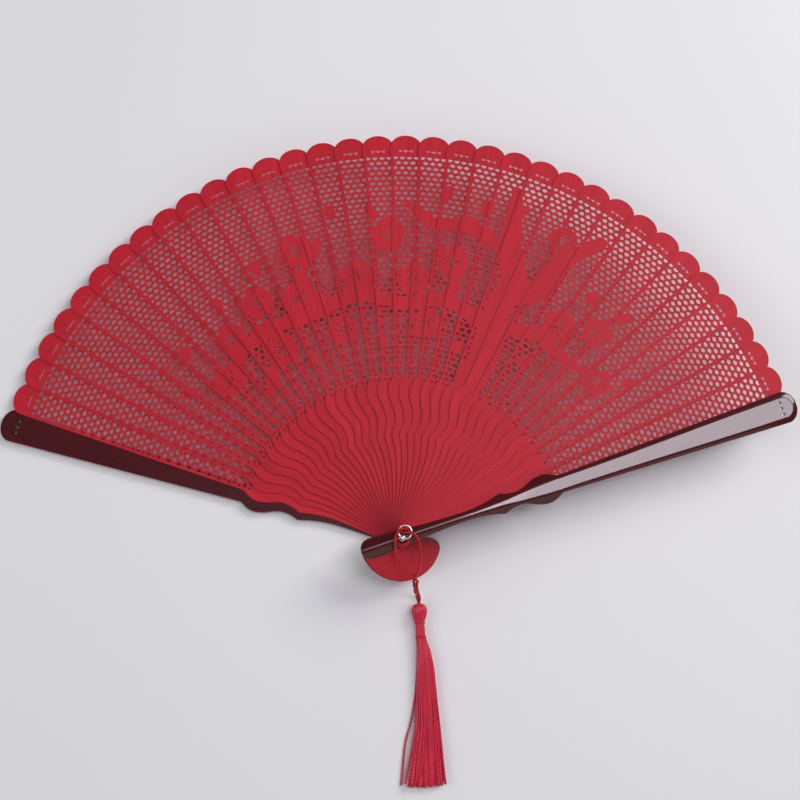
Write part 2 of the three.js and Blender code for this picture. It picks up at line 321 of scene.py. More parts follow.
def dyed_sandalwood(wood):
    """Thin red-dyed wood with its grain along the leaf, scorched on the cut edges."""
    nodes = Nodes("dyed_sandalwood")
    leaf = nodes.math("MULTIPLY", nodes.add("ObjectInfo").outputs["Object Index"], LEAF_SHIFT)
    fibres = nodes.grain(LEAF_FIBRES, 6.0, 0.62, leaf)
    pores = nodes.grain(LEAF_PORES, 3.0, 0.7, leaf)
    bands = nodes.grain(LEAF_BANDS, 3.0, 0.5, leaf)
    leaf_tone = nodes.grain((1, 1, 1), 1.0, 0.5, leaf, 0.4)
    tone = nodes.weigh(fibres, bands, 0.62)
    base = nodes.blend(nodes.steps(tone, 0.38, 0.6), wood.red_dark, wood.red_light)
    base = nodes.blend(nodes.steps(leaf_tone, 0.42, 0.62, 0.35), base, wood.red_dark)
    base = nodes.blend(nodes.steps(pores, 0.6, 0.74, 0.45), base, wood.cut_edge)
    rubbed = nodes.math("MULTIPLY", rail_share(nodes, 0.55), nodes.steps(fibres, 0.4, 0.7, 0.45))
    base = nodes.blend(rubbed, base, wood.worn_edge)
    height = nodes.scaled(pores, -0.5, fibres)
    return nodes.finish(
        Base=nodes.blend(upright_share(nodes), wood.cut_edge, base),
        Roughness=nodes.scaled(fibres, 0.22, 0.36),
        Normal=nodes.bump(height, 0.00006, 0.5),
        Specular=0.22,
    )


def gloss_lacquer(wood):
    """Dark burgundy lacquer over fine grain, redder where it has worn thin."""
    nodes = Nodes("gloss_lacquer")
    grain = nodes.grain(LACQUER_GRAIN, 5.0, 0.6)
    dust = nodes.grain(LACQUER_DUST, 5.0, 0.6, scale=9.0)
    thin = nodes.steps(grain, 0.45, 0.7, 0.5)
    rubbed = nodes.math("ADD", thin, nodes.math("MULTIPLY", rail_share(nodes, 0.9), 0.4), True)
    return nodes.finish(
        Base=nodes.blend(rubbed, wood.lacquer, wood.lacquer_worn),
        Roughness=nodes.scaled(dust, 0.14, 0.24),
        Normal=nodes.bump(grain, 0.00001, 0.12),
        Specular=0.15,
        Coat=1.0,
        CoatRoughness=0.07,
    )


def matt_stain(wood):
    """Bare stained wood on the guards' flat faces."""
    nodes = Nodes("matt_stain")
    fibres = nodes.grain(STAIN_FIBRES, 6.0, 0.6)
    bands = nodes.grain(STAIN_BANDS, 2.0, 0.5)
    tone = nodes.steps(nodes.weigh(fibres, bands, 0.5), 0.36, 0.66)
    return nodes.finish(
        Base=nodes.blend(tone, shade(wood.stain, 0.7), shade(wood.stain, 1.5)),
        Roughness=nodes.scaled(fibres, 0.2, 0.45),
        Normal=nodes.bump(fibres, 0.00005, 0.5),
        Specular=0.4,
    )


def polished_steel(hanging):
    """Bright wire and rivet, with fine scratches."""
    nodes = Nodes("polished_steel")
    scratches = nodes.grain(STEEL_SCRATCHES, 3.0, 0.6)
    tarnish = nodes.steps(nodes.grain(STEEL_TARNISH, 4.0, 0.6), 0.5, 0.75)
    return nodes.finish(
        Base=nodes.blend(tarnish, hanging.steel, shade(hanging.steel, 0.72)),
        Metallic=1.0,
        Roughness=nodes.scaled(scratches, 0.2, 0.2),
        Normal=nodes.bump(scratches, 0.000008, 0.4),
    )


def silk(name, low, high, fineness, sheen, rough, groove_shade=None):
    """Silk: fine fibres from its low colour to its high one, a soft sheen, and painted shade in its
    grooves.
    """
    nodes = Nodes(name)
    fibres = nodes.grain(fineness, 4.0, 0.6)
    patches = nodes.grain(SILK_PATCHES, 2.0, 0.5)
    base = nodes.blend(nodes.steps(nodes.weigh(fibres, patches, 0.5), 0.38, 0.62), low, high)
    # Painted shade: where the crown attribute is low, in the grooves, the colour darkens to 0.3 of
    # the low one.
    if groove_shade is not None:
        crown = nodes.add("Attribute", attribute_name="crown").outputs["Fac"]
        base = nodes.blend(nodes.steps(crown, *groove_shade), shade(low, 0.3), base)
    return nodes.finish(
        Base=base,
        Roughness=nodes.scaled(fibres, 0.15, rough),
        Normal=nodes.bump(fibres, 0.00003, 0.4),
        Sheen=sheen,
        SheenRoughness=0.35,
        SheenTint=SHEEN_TINT,
        Specular=0.38,
    )


def silk_cord(hanging):
    red = hanging.cord_red
    # The last pair is the crown range over which shade is painted into the grooves between the plies.
    return silk("silk_cord", shade(red, 0.6), red, CORD_FIBRES, 0.05, 0.26, (0.55, 0.97))


def silk_yarn(hanging):
    low, high = hanging.yarn_red, hanging.yarn_pale
    # The last pair is the crown range over which shade is painted between the yarn's plies and the
    # head's ridges.
    return silk("silk_yarn", low, high, YARN_FIBRES, 0.1, 0.18, (0.72, 1.0))


def pink_thread(hanging):
    pink = hanging.thread_pink
    return silk("pink_thread", shade(pink, 0.6), pink, THREAD_FIBRES, 0.2, 0.5)


def plain_floor(stage):
    nodes = Nodes("plain_floor")
    mottle = nodes.grain(FLOOR_MOTTLE, 3.0, 0.5)
    return nodes.finish(
        Base=nodes.blend(mottle, stage.floor, shade(stage.floor, 0.97)),
        Roughness=0.7,
        Normal=nodes.bump(mottle, 0.0005, 0.1),
    )


def shared_material(maker, settings):
    """The material that maker makes and names after itself, made once and shared."""
    return bpy.data.materials.get(maker.__name__) or maker(settings)


# ---------------------------------------------------------------- outlines, in millimetres


def bezier(points, steps):
    """Points along a cubic curve, without its last one."""
    a, b, c, d = (Vector(p) for p in points)
    found = []
    for i in range(steps):
        t = i / steps
        s = 1 - t
        found.append(s**3 * a + 3 * s * s * t * b + 3 * s * t * t * c + t**3 * d)
    return found


def stick_side(reach, steps=9):
    """One side of a stick as (half width, place) from the head's end to the tip."""
    side = []
    for i in range(HEAD_STEPS):
        turn = math.pi / 2 * i / HEAD_STEPS
        half = HEAD_RADIUS * math.sin(turn)
        side.append(Vector((half, HEAD_CENTRE - HEAD_RADIUS * math.cos(turn))))
    for curve in SIDE_CURVES:
        side += bezier(curve, steps)
    tip_at = reach - TIP_ROUND
    for i in range(EDGE_STEPS):
        side.append(Vector(SHOULDER).lerp(Vector((TIP_HALF, tip_at)), i / EDGE_STEPS))
    for i in range(TIP_STEPS + 1):
        turn = math.pi / 2 * i / TIP_STEPS
        side.append(Vector((TIP_HALF * math.cos(turn), tip_at + TIP_ROUND * math.sin(turn))))
    return side


def half_width(y, side):
    """The stick's half width at a place along it."""
    for a, b in zip(side, side[1:]):
        if a.y <= y <= b.y and b.y > a.y:
            return a.x + (b.x - a.x) * (y - a.y) / (b.y - a.y)
    return 0.0


def regular(centre, radius, sides, turn=0.0):
    """A regular polygon."""
    return [
        Vector((centre[0] + radius * math.cos(turn + 2 * math.pi * i / sides),
                centre[1] + radius * math.sin(turn + 2 * math.pi * i / sides)))
        for i in range(sides)
    ]


def keep_side(polygon, normal, least):
    """The part of a convex polygon where its points' dot product with normal is at least that."""
    kept = []
    for a, b in zip(polygon, polygon[1:] + polygon[:1]):
        at_a = a.dot(normal) - least
        at_b = b.dot(normal) - least
        if at_a >= 0:
            kept.append(a)
        if (at_a >= 0) != (at_b >= 0):
            kept.append(a.lerp(b, at_a / (at_a - at_b)))
    return kept


def area(polygon):
    return 0.5 * abs(sum(a.cross(b) for a, b in zip(polygon, polygon[1:] + polygon[:1])))


def heading(turn):
    """The unit vector that points that way in the plane."""
    return Vector((math.cos(turn), math.sin(turn)))


def between(table, place):
    """The value at a place in a table of (place, value), drawn straight from one to the next."""
    for (a, low), (b, high) in zip(table, table[1:]):
        if place <= b:
            share = min(1.0, max(0.0, (place - a) / (b - a)))
            return low + (high - low) * share
    return table[-1][1]


# ---------------------------------------------------------------- the picture left in the lattice

# Places are (degrees from the fan's middle, anticlockwise, and millimetres from the rivet).
# A bough is a row of places with the half width of its wood there.
BOUGHS = [
    [(-24, 70, 6.0), (-26, 92, 6.4), (-24, 112, 6.0), (-25, 131, 5.2), (-21.5, 150, 4.6),
     (-20, 172, 2.6)],
    [(-25, 120, 4.0), (-31, 133, 4.4), (-31.5, 150, 4.0), (-36, 168, 2.2)],
    [(-23, 107, 3.8), (-12, 113, 3.2), (-2, 109, 3.2), (9, 116, 3.0), (21, 112, 3.4),
     (33, 116, 2.6), (46, 110, 1.8)],
    [(-23, 142, 3.6), (-14, 150, 3.2), (-7, 148, 2.4), (-2, 158, 1.4)],
    [(-26, 108, 3.4), (-36, 114, 3.4), (-45, 111, 2.4), (-54, 118, 1.4)],
    [(17, 114, 2.8), (20, 130, 2.2), (14, 146, 1.4)],
    [(33, 115, 2.6), (34, 100, 2.4), (41, 90, 1.4)],
    [(-12, 112, 2.6), (-14, 128, 2.2), (-9, 138, 1.4)],
]
BOUGH_STEP = 1.2
BOUGH_SWAY = 0.5
SWAY_TURN = 0.55
# Blossoms have a place and the radius of one petal.
BLOSSOMS = [
    (1, 142, 3.9), (8, 124, 4.0), (-12, 131, 3.9), (22, 121, 4.2), (30, 128, 3.7),
    (46, 108, 3.8), (-38, 122, 4.0), (-45, 131, 3.4), (19, 143, 3.6), (-8, 100, 3.6),
    (-30, 158, 3.4), (31, 103, 4.0), (-53, 115, 3.2), (39, 121, 3.5), (14, 100, 3.4),
    (-4, 121, 3.8),
]
PETALS = 5
# How far a petal's middle and a stamen's dot are from the heart, in petal radii.
PETAL_AWAY = 0.98
HEART_SLITS = 8
HEART_RADIUS = 0.45
STAMEN_RADIUS = 0.36
SLIT_START = 0.95
SLIT_END = 0.72
SLIT_RAIL = 0.8
# Buds and small leaves have a place, a long and a short half width, and their way in degrees.
LEAFLETS = [
    (-9, 163, 5.2, 2.3, 60), (27, 143, 5.0, 2.2, 110), (-47, 145, 5.0, 2.2, 20),
    (37, 139, 4.6, 2.0, 160), (-16, 160, 5.2, 2.4, 80), (-40, 142, 5.0, 2.2, 40),
    (11, 156, 4.6, 2.0, 100), (-18, 92, 4.8, 2.2, 200), (54, 119, 4.4, 2.0, 170),
    (4, 154, 4.6, 2.0, 130), (-57, 126, 4.2, 1.9, 10), (25, 92, 4.2, 1.9, 230),
    (48, 132, 4.2, 1.9, 140), (-36, 99, 4.6, 2.0, 20), (4, 92, 4.2, 2.0, 250),
    (-22, 164, 4.0, 1.9, 210),
]
LEAFLET_ROUNDS = 4
LEAFLET_BELLY = 1.05
LEAFLET_POINT = 0.7
# The lattice's slanted walls are this share of the upright ones.
SLANT_WALL = 0.64
# Holes whose middle is deeper than this in the picture go, and those nearer than the next are cut.
TOO_DEEP = 1.5
NEAR_PICTURE = -2.2


def on_fan(place):
    """A place on the open fan, as a vector from the rivet."""
    turn = math.radians(place[0])
    return Vector((-place[1] * math.sin(turn), place[1] * math.cos(turn)))


def picture_parts():
    """The picture as overlapping rounds, each a centre and a radius."""
    rounds = []
    for bough in BOUGHS:
        for a, b in zip(bough, bough[1:]):
            start, end = on_fan(a), on_fan(b)
            count = max(2, int((end - start).length / BOUGH_STEP))
            for i in range(count):
                t = i / count
                sway = BOUGH_SWAY * math.sin(SWAY_TURN * (start + t * (end - start)).length)
                rounds.append((start.lerp(end, t), a[2] + (b[2] - a[2]) * t + sway))
    for angle, away, petal in BLOSSOMS:
        centre = on_fan((angle, away))
        rounds.append((centre, petal))
        for i in range(PETALS):
            turn = math.radians(angle + 90) + 2 * math.pi * i / PETALS
            rounds.append((centre + PETAL_AWAY * petal * heading(turn), petal))
    for angle, away, long_half, short_half, way in LEAFLETS:
        centre = on_fan((angle, away))
        along = heading(math.radians(way))
        for i in range(-LEAFLET_ROUNDS, LEAFLET_ROUNDS + 1):
            share = i / LEAFLET_ROUNDS
            radius = short_half * (LEAFLET_BELLY - LEAFLET_POINT * share**2)
            rounds.append((centre + along * share * (long_half - short_half), radius))
    return rounds


def picture_depth(point, rounds):
    """How deep a point lies in the picture's solid wood, and the way out of it."""
    best, way = -99.0, Vector((1, 0))
    for centre, radius in rounds:
        offset = point - centre
        depth = radius - offset.length
        if depth > best:
            best = depth
            way = offset.normalized() if offset.length > 1e-6 else Vector((1, 0))
    return best, way


def lattice_holes(piercing, bearing, rounds):
    """Holes of one leaf, each as a convex polygon on the leaf."""
    column, row = piercing.column_pitch / MM, piercing.row_pitch / MM
    wall, rail = piercing.wall / MM, piercing.rail / MM
    top = LEAF_LENGTH - piercing.top_from_tip / MM
    bottom = piercing.bottom / MM
    first = LEAF_LENGTH - piercing.first_row_from_tip / MM
    lean = Vector((-1, LEAF_TAPER)).normalized()
    mirrored = Vector((-lean.x, lean.y))
    edge = Vector((SHOULDER[0] - rail, SHOULDER[1]))
    slant = Vector((row / 3, column / 2)).normalized()
    slant_reach = slant.y * 2 * row / 3 - SLANT_WALL * wall
    turn = Matrix.Rotation(bearing, 2)
    back = Matrix.Rotation(-bearing, 2)
    near = [part for part in rounds if abs((back @ part[0]).x) < TIP_HALF + part[1] + 2]
    holes = []
    for j in range(-1, int((first - bottom) / row) + 2):
        for k in range(-4, 5):
            centre = Vector(((k + 0.5 * (j % 2)) * column, first - j * row))
            if abs(centre.x) > TIP_HALF + column / 2:
                continue
            hole = [centre + Vector(corner) for corner in ((-3, -3), (3, -3), (3, 3), (-3, 3))]
            for way in (Vector((1, 0)), Vector((-1, 0))):
                hole = keep_side(hole, -way, -way.dot(centre) - (column - wall) / 2)
            for x, y in ((1, 1), (1, -1), (-1, 1), (-1, -1)):
                way = Vector((x * slant.x, y * slant.y))
                hole = keep_side(hole, -way, -way.dot(centre) - slant_reach)
            hole = keep_side(hole, Vector((0, -1)), -top)
            hole = keep_side(hole, Vector((0, 1)), bottom)
            hole = keep_side(hole, lean, lean.dot(edge))
            hole = keep_side(hole, mirrored, mirrored.dot(Vector((-edge.x, edge.y))))
            if len(hole) < 3:
                continue
            depth, way = picture_depth(turn @ centre, near)
            if depth > TOO_DEEP:
                continue
            if depth > NEAR_PICTURE:
                local = back @ way
                hole = keep_side(hole, local, local.dot(centre) + depth + wall / 3)
            if len(hole) >= 3 and area(hole) > piercing.smallest_hole:
                holes.append(hole)
    return holes


def heart_cuts(piercing, bearing, side):
    """The fine slits and dots in the blossoms' hearts that fall on one leaf."""
    back = Matrix.Rotation(-bearing, 2)
    half = piercing.slit_width / MM / 2
    cuts = []
    for angle, away, petal in BLOSSOMS:
        centre = back @ on_fan((angle, away))
        if abs(centre.x) > TIP_HALF + petal:
            continue
        shapes = [regular(centre, HEART_RADIUS, 8)]
        for i in range(HEART_SLITS):
            turn = 2 * math.pi * (i + 0.25) / HEART_SLITS
            along = heading(turn)
            across = Vector((-along.y, along.x)) * half
            start, end = centre + along * SLIT_START, centre + along * SLIT_END * petal
            shapes.append([start - across, end - 0.5 * across, end + 0.5 * across, start + across])
            dot = centre + heading(turn + math.pi / HEART_SLITS) * (PETAL_AWAY * petal)
            shapes.append(regular(dot, STAMEN_RADIUS, 6))
        for shape in shapes:
            if all(abs(p.x) < half_width(p.y, side) - SLIT_RAIL for p in shape):
                cuts.append(shape)
    return cuts


def thread_holes(reach):
    at = reach - THREAD_HOLES_FROM_TIP
    places = [(place * THREAD_HOLE_PITCH, at) for place in (-1, 0, 1)]
    return [regular(place, THREAD_HOLE_CORNER, 4, math.pi / 4) for place in places]


# ---------------------------------------------------------------- meshes

# Each tube's surface starts turned by this from the one before, so that no two twist alike.
ROUTE_SPIN = 2.4
# A ply's radius and its middle's distance from the rope's, as a share of the rope's radius.
PLY_SHARE = 0.54


def mesh_from(built, name, smooth=False):
    """The mesh of a finished bmesh."""
    mesh = bpy.data.meshes.new(name)
    built.to_mesh(mesh)
    built.free()
    if smooth:
        mesh.polygons.foreach_set("use_smooth", [True] * len(mesh.polygons))
    return mesh


def plate_mesh(name, outline, holes, thickness, ease):
    """A flat plate: outline and holes in millimetres, thickness and eased edges in metres."""
    curve = bpy.data.curves.new(name, "CURVE")
    curve.dimensions = "2D"
    curve.fill_mode = "BOTH"
    curve.extrude = thickness / 2 - ease
    curve.bevel_depth = ease
    curve.bevel_resolution = 0
    curve.offset = -ease
    for polygon in [outline, *holes]:
        spline = curve.splines.new("POLY")
        spline.points.add(len(polygon) - 1)
        for point, place in zip(spline.points, polygon):
            point.co = (place.x * MM, place.y * MM, 0, 1)
        spline.use_cyclic_u = True
    holder = bpy.data.objects.new(name, curve)
    raw = bpy.data.meshes.new_from_object(holder)
    bpy.data.objects.remove(holder)
    bpy.data.curves.remove(curve)
    built = bmesh.new()
    built.from_mesh(raw)
    bpy.data.meshes.remove(raw)
    bmesh.ops.remove_doubles(built, verts=built.verts, dist=1e-7)
    mesh = mesh_from(built, name)
    mesh.polygons.foreach_set("use_smooth", [False] * len(mesh.polygons))
    return mesh


def add_object(name, mesh, materials, body, replaced=(), place=None):
    """Puts a piece in the scene on its body, in place of its CAD nodes."""
    piece = bpy.data.objects.new(name, mesh)
    bpy.context.scene.collection.objects.link(piece)
    for material in materials:
        mesh.materials.append(material)
    if place is not None:
        piece.matrix_world = place
    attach(piece, body)
    if replaced:
        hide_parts(*replaced)
    return piece


def mark_crowns(mesh, crowns):
    """Keeps for each vertex how far it stands out of the grooves between the plies, 0 to 1; the silk
    materials paint shade where it is low.
    """
    mesh.attributes.new("crown", "FLOAT", "POINT").data.foreach_set("value", crowns)


def ways_along(points):
    """The way a row of points goes at each of them."""
    last = len(points) - 1
    return [
        (points[min(i + 1, last)] - points[max(i - 1, 0)]).normalized() for i in range(last + 1)
    ]


def carried(points, ways):
    """Each point of a route with its run from the start and two axes square to the route."""
    across = ways[0].orthogonal().normalized()
    run = 0.0
    for i, (point, way) in enumerate(zip(points, ways)):
        if i:
            run += (point - points[i - 1]).length
        across = (across - way * across.dot(way)).normalized()
        yield point, run, across, way.cross(across)


def skin(built, rings):
    """Faces round a row of rings, and one across each end."""
    for a, b in zip(rings, rings[1:]):
        for k in range(len(a)):
            n = (k + 1) % len(a)
            built.faces.new((a[k], a[n], b[n], b[k]))
    built.faces.new(reversed(rings[0]))
    built.faces.new(rings[-1])


def tube_mesh(name, routes, radius_at, sides, middle=None, reach=1.0):
    """Closed tubes along routes; radius_at(share of length, angle, run) is the surface's radius.
    The plies of a rope have its middle and its reach, so that their inner sides are grooves, where
    the crowns kept here get painted shade."""
    built = bmesh.new()
    crowns = []
    for number, points in enumerate(routes):
        total = sum((b - a).length for a, b in zip(points, points[1:]))
        ways = [(b - a).normalized() for a, b in zip(points, points[1:])]
        ways = [ways[0], *[(a + b).normalized() for a, b in zip(ways, ways[1:])], ways[-1]]
        rings = []
        for i, (point, run, across, other) in enumerate(carried(points, ways)):
            ring = []
            for k in range(sides):
                turn = 2 * math.pi * k / sides
                radius = radius_at(run / total, turn + ROUTE_SPIN * number, run)
                out = math.cos(turn) * across + math.sin(turn) * other
                ring.append(built.verts.new(point + radius * out))
            rings.append(ring)
            if middle:
                crowns += [(vert.co - middle[i]).length / reach for vert in ring]
            else:
                reaches = [(vert.co - point).length for vert in ring]
                crowns += [each / max(reaches) for each in reaches]
        skin(built, rings)
    mesh = mesh_from(built, name, True)
    mark_crowns(mesh, crowns)
    return mesh


def smooth_route(points, step):
    """Points about step apart along a smooth curve through the given ones."""
    ends = [2 * points[0] - points[1], *points, 2 * points[-1] - points[-2]]
    parts = 12
    fine = []
    for a, b, c, d in zip(ends, ends[1:], ends[2:], ends[3:]):
        for i in range(parts):
            t = i / parts
            bend = (2 * a - 5 * b + 4 * c - d) * t * t
            fine.append(0.5 * (2 * b + (c - a) * t + bend + (3 * b - a - 3 * c + d) * t**3))
    fine.append(points[-1])
    spaced = [fine[0]]
    left = step
    for a, b in zip(fine, fine[1:]):
        gap = (b - a).length
        start = 0.0
        while gap - start >= left:
            start += left
            spaced.append(a.lerp(b, start / gap))
            left = step
        left -= gap - start
    if (spaced[-1] - fine[-1]).length > step / 3:
        spaced.append(fine[-1])
    return spaced


def rope_plies(route, radius, plies, lay):
    """A rope's plies along a route, each a row of points that turns once round it in each lay."""
    found = [[] for _ in range(plies)]
    for point, run, across, other in carried(route, ways_along(route)):
        for k, ply in enumerate(found):
            turn = 2 * math.pi * (run / lay + k / plies)
            out = math.cos(turn) * across + math.sin(turn) * other
            ply.append(point + PLY_SHARE * radius * out)
    return found


def lathe_mesh(name, profile, sides):
    """A round solid about Z from (radius, height) points in metres, from the axis to the axis."""
    built = bmesh.new()
    turns = [2 * math.pi * k / sides for k in range(sides)]
    rings = []
    for radius, height in profile:
        round_it = turns if radius > 1e-9 else [0.0]
        corners = [(radius * math.cos(t), radius * math.sin(t), height) for t in round_it]
        rings.append([built.verts.new(corner) for corner in corners])
    for a, b in zip(rings, rings[1:]):
        for k in range(sides):
            n = (k + 1) % sides
            corners = [a[k % len(a)], a[n % len(a)], b[n % len(b)], b[k % len(b)]]
            built.faces.new(list(dict.fromkeys(corners)))
    bmesh.ops.recalc_face_normals(built, faces=built.faces)
    return mesh_from(built, name, True)


def drill(radius, x, y, low, high, sides=32):
    """A round cutter that stands at a place."""
    mesh = lathe_mesh("drill", [(0, low), (radius, low), (radius, high), (0, high)], sides)
    mesh.transform(Matrix.Translation((x, y, 0)))
    return mesh


def cut_mesh(name, mesh, cutters):
    """A mesh with the cutters' shapes cut out of it."""
    holder = bpy.data.objects.new("to_cut", mesh)
    bpy.context.scene.collection.objects.link(holder)
    helpers = []
    for cutter in cutters:
        helper = bpy.data.objects.new("cutter", cutter)
        bpy.context.scene.collection.objects.link(helper)
        helpers.append(helper)
        step = holder.modifiers.new("cut", "BOOLEAN")
        step.operation = "DIFFERENCE"
        step.solver = "EXACT"
        step.object = helper
    shown = holder.evaluated_get(bpy.context.evaluated_depsgraph_get())
    result = bpy.data.meshes.new_from_object(shown)
    for helper in [*helpers, holder]:
        bpy.data.objects.remove(helper)
    result.name = name
    result.materials.clear()
    return result


def sharpen(mesh, degrees):
    """Smooth shading, with edges sharper than that kept crisp."""
    mesh.polygons.foreach_set("use_smooth", [True] * len(mesh.polygons))
    mesh.set_sharp_from_angle(angle=math.radians(degrees))


# ---------------------------------------------------------------- the stage

# Softboxes have a place, a point they face, a size, the power's setting and its share, and a tint.
SOFTBOXES = {
    "strip_light": ((0.43, 0.14, 1.2), (0.1, 0.036, 0.02), (0.22, 0.58),
                    "key_power", 1.0, (0.96, 0.92, 1.0)),
    "middle_light": ((0.07, 0.22, 1.2), (0, 0.06, 0.02), (0.42, 0.3),
                     "middle_power", 1.0, (1.0, 0.95, 0.97)),
    "right_light": ((1.0, 0.75, 0.95), (0, 0.06, 0), (0.7, 0.7),
                    "fill_power", 1.0, (1.0, 0.99, 0.98)),
    "left_light": ((-1.2, 0.1, 1.0), (0, 0.06, 0), (1.0, 1.0),
                   "fill_power", 0.55, (0.98, 0.99, 1.0)),
    "near_light": ((0.1, -1.5, 1.1), (0, 0.06, 0), (2.6, 1.5),
                   "fill_power", 0.45, (1.0, 1.0, 1.0)),
}
SKY_TINT = (0.9, 0.92, 1.0, 1)
SKY_STRENGTH = 0.13
FLOOR_HALF = 4.0
FLOOR_GAP = 0.0002
SENSOR_WIDTH = 36
NEAREST, FARTHEST = 0.01, 20


def stage_up(stage):
    a, e, r = (math.radians(v) for v in (stage.azimuth, stage.elevation, stage.roll))
    back = Vector((-math.sin(a) * math.cos(e), -math.cos(a) * math.cos(e), math.sin(e)))
    level = Vector((math.cos(a), -math.sin(a), 0))
    up = back.cross(level)
    right = level * math.cos(r) + up * math.sin(r)
    top = up * math.cos(r) - level * math.sin(r)
    camera = bpy.data.objects.new("camera", bpy.data.cameras.new("camera"))
    bpy.context.scene.collection.objects.link(camera)
    place = Vector(stage.target) + back * stage.distance
    camera.matrix_world = Matrix((
        (right.x, top.x, back.x, place.x),
        (right.y, top.y, back.y, place.y),
        (right.z, top.z, back.z, place.z),
        (0, 0, 0, 1),
    ))
    camera.data.sensor_width = SENSOR_WIDTH
    camera.data.lens = stage.lens
    camera.data.clip_start = NEAREST
    camera.data.clip_end = FARTHEST
    bpy.context.scene.camera = camera

    mesh = bpy.data.meshes.new("floor")
    low = CAD_BOX[0][2] - FLOOR_GAP
    signs = ((-1, -1), (1, -1), (1, 1), (-1, 1))
    corners = [(x * FLOOR_HALF, y * FLOOR_HALF, low) for x, y in signs]
    mesh.from_pydata(corners, [], [(0, 1, 2, 3)])
    mesh.materials.append(plain_floor(stage))
    floor = bpy.data.objects.new("floor", mesh)
    bpy.context.scene.collection.objects.link(floor)

    for name, (place, aim, size, power, share, tint) in SOFTBOXES.items():
        add_softbox(name, Vector(place), Vector(aim), size, share * getattr(stage, power), tint)
    world = bpy.data.worlds.new("studio")
    world.use_nodes = True
    sky = world.node_tree.nodes["Background"]
    sky.inputs[0].default_value = SKY_TINT
    sky.inputs[1].default_value = SKY_STRENGTH
    bpy.context.scene.world = world
    bpy.context.scene.view_settings.view_transform = "Standard"


def add_softbox(name, place, aim, size, power, tint):
    """A rectangular lamp that faces a point."""
    light = bpy.data.lights.new(name, "AREA")
    light.shape = "RECTANGLE"
    light.size, light.size_y = size
    light.energy = power
    light.color = tint
    lamp = bpy.data.objects.new(name, light)
    bpy.context.scene.collection.objects.link(lamp)
    facing = (aim - place).to_track_quat("-Z", "Y").to_matrix().to_4x4()
    lamp.matrix_world = Matrix.Translation(place) @ facing


# ---------------------------------------------------------------- the cord and tassel, in metres

# The cord's route: from under the other strand's crossing and up the left, over the ring's left
# side and down through it, once round the eye, up through the ring again, over its right side and
# down the right.
CORD_ROUTE = [
    (0.0061, -0.0194, 0.0287), (0.0054, -0.0185, 0.0293), (0.0044, -0.0174, 0.0296),
    (0.0031, -0.0162, 0.0293), (0.001, -0.0142, 0.0287), (-0.0013, -0.0109, 0.0284),
    (-0.0028, -0.0075, 0.0285), (-0.0035, -0.0038, 0.0293), (-0.0035, -0.0005, 0.0302),
    (-0.0025, 0.0021, 0.031), (-0.0008, 0.0037, 0.0308), (0.0012, 0.004, 0.0295),
    (0.0027, 0.0029, 0.0286), (0.0034, 0.001, 0.0282), (0.0029, -0.0011, 0.02815),
    (0.0013, -0.0028, 0.02815), (-0.0007, -0.0031, 0.02815), (-0.0024, -0.002, 0.02815),
    (-0.0031, -0.0001, 0.02815), (-0.0023, 0.0016, 0.02815), (-0.0005, 0.00245, 0.02865),
    (0.0014, 0.00235, 0.0303), (0.0033, 0.0023, 0.031), (0.0053, 0.0012, 0.0306),
    (0.007, -0.0017, 0.0294), (0.0078, -0.0056, 0.0286), (0.0077, -0.0092, 0.0283),
    (0.007, -0.0128, 0.0281), (0.006, -0.0158, 0.028), (0.005, -0.0177, 0.028),
    (0.0045, -0.0194, 0.028),
]
CORD_CROSSING = 2
CORD_STEP = 0.00016
CORD_SIDES = 8
# The twisted stem's middle, from where the strands meet down to the tassel's head.
STEM_ROUTE = [
    (0.0053, -0.0206, 0.0275), (0.0055, -0.0221, 0.0253), (0.0058, -0.0229, 0.0218),
    (0.0063, -0.0238, 0.016), (0.0069, -0.0247, 0.0105), (0.0075, -0.0258, 0.0068),
    (0.008, -0.0276, 0.0044), (0.0082, -0.0296, 0.0037),
]
STEM_STEP = 0.0008
STRAND_APART = 0.92
STRAND_HALF_TURN = 0.0073
STRAND_CROSSING = 0.005
ROPE_LAY = 0.0024
# The hidden ends, as places right of the head's middle, on from an edge of a box, and up.
SECOND_END = (0.0004, -0.0024, 0.0037)
CORD_END_IN_HEAD = [(0, 0.004, 0.0036), (0.0002, 0, 0.0032)]
CORD_END_IN_SKIRT = [(0.0008, -0.003, 0.0028), (0.0020, -0.012, 0.0026), (0.0024, -0.018, 0.0025)]

# The tassel's line as (place from its head's top, how far its middle strays or its half width).
TASSEL_STRAY = [(0, 0.0), (0.0086, 0.0001), (0.015, 0.0006), (0.0215, 0.0017), (0.03, 0.0024),
                (0.055, 0.0026), (0.066, 0.002), (0.083, 0.0011)]
TASSEL_HALF = [(0, 0.0019), (0.0086, 0.0022), (0.011, 0.0024), (0.015, 0.0022), (0.0215, 0.0034),
               (0.03, 0.0043), (0.043, 0.005), (0.055, 0.006), (0.066, 0.0076), (0.083, 0.0102)]
TASSEL_HEIGHT = 0.0029
# The head's profile as (share of its length, share of its half width).
HEAD_PROFILE = [(0, 0.42), (0.03, 0.6), (0.08, 0.76), (0.16, 0.9), (0.28, 0.985), (0.42, 1.0),
                (0.56, 0.96), (0.7, 0.88), (0.82, 0.78), (0.92, 0.68), (1.0, 0.6)]
HEAD_OVERLAP = 0.0004
HEAD_RIDGES = 22
# The ties round the neck as (place from the head's top, turns, reach).
NECK_TIES = [(0.0084, 2, 0.0023), (0.0146, 3, 0.00225)]
TIE_PITCH = 0.00036
TIE_RADIUS = 0.00021
TIE_STEPS = 36
YARN_FROM = 0.0072
YARN_STEPS = 200
YARN_LAY = 0.003
LOOSE_FROM = 0.016
GOLDEN_TURN = math.pi * (3 - math.sqrt(5))
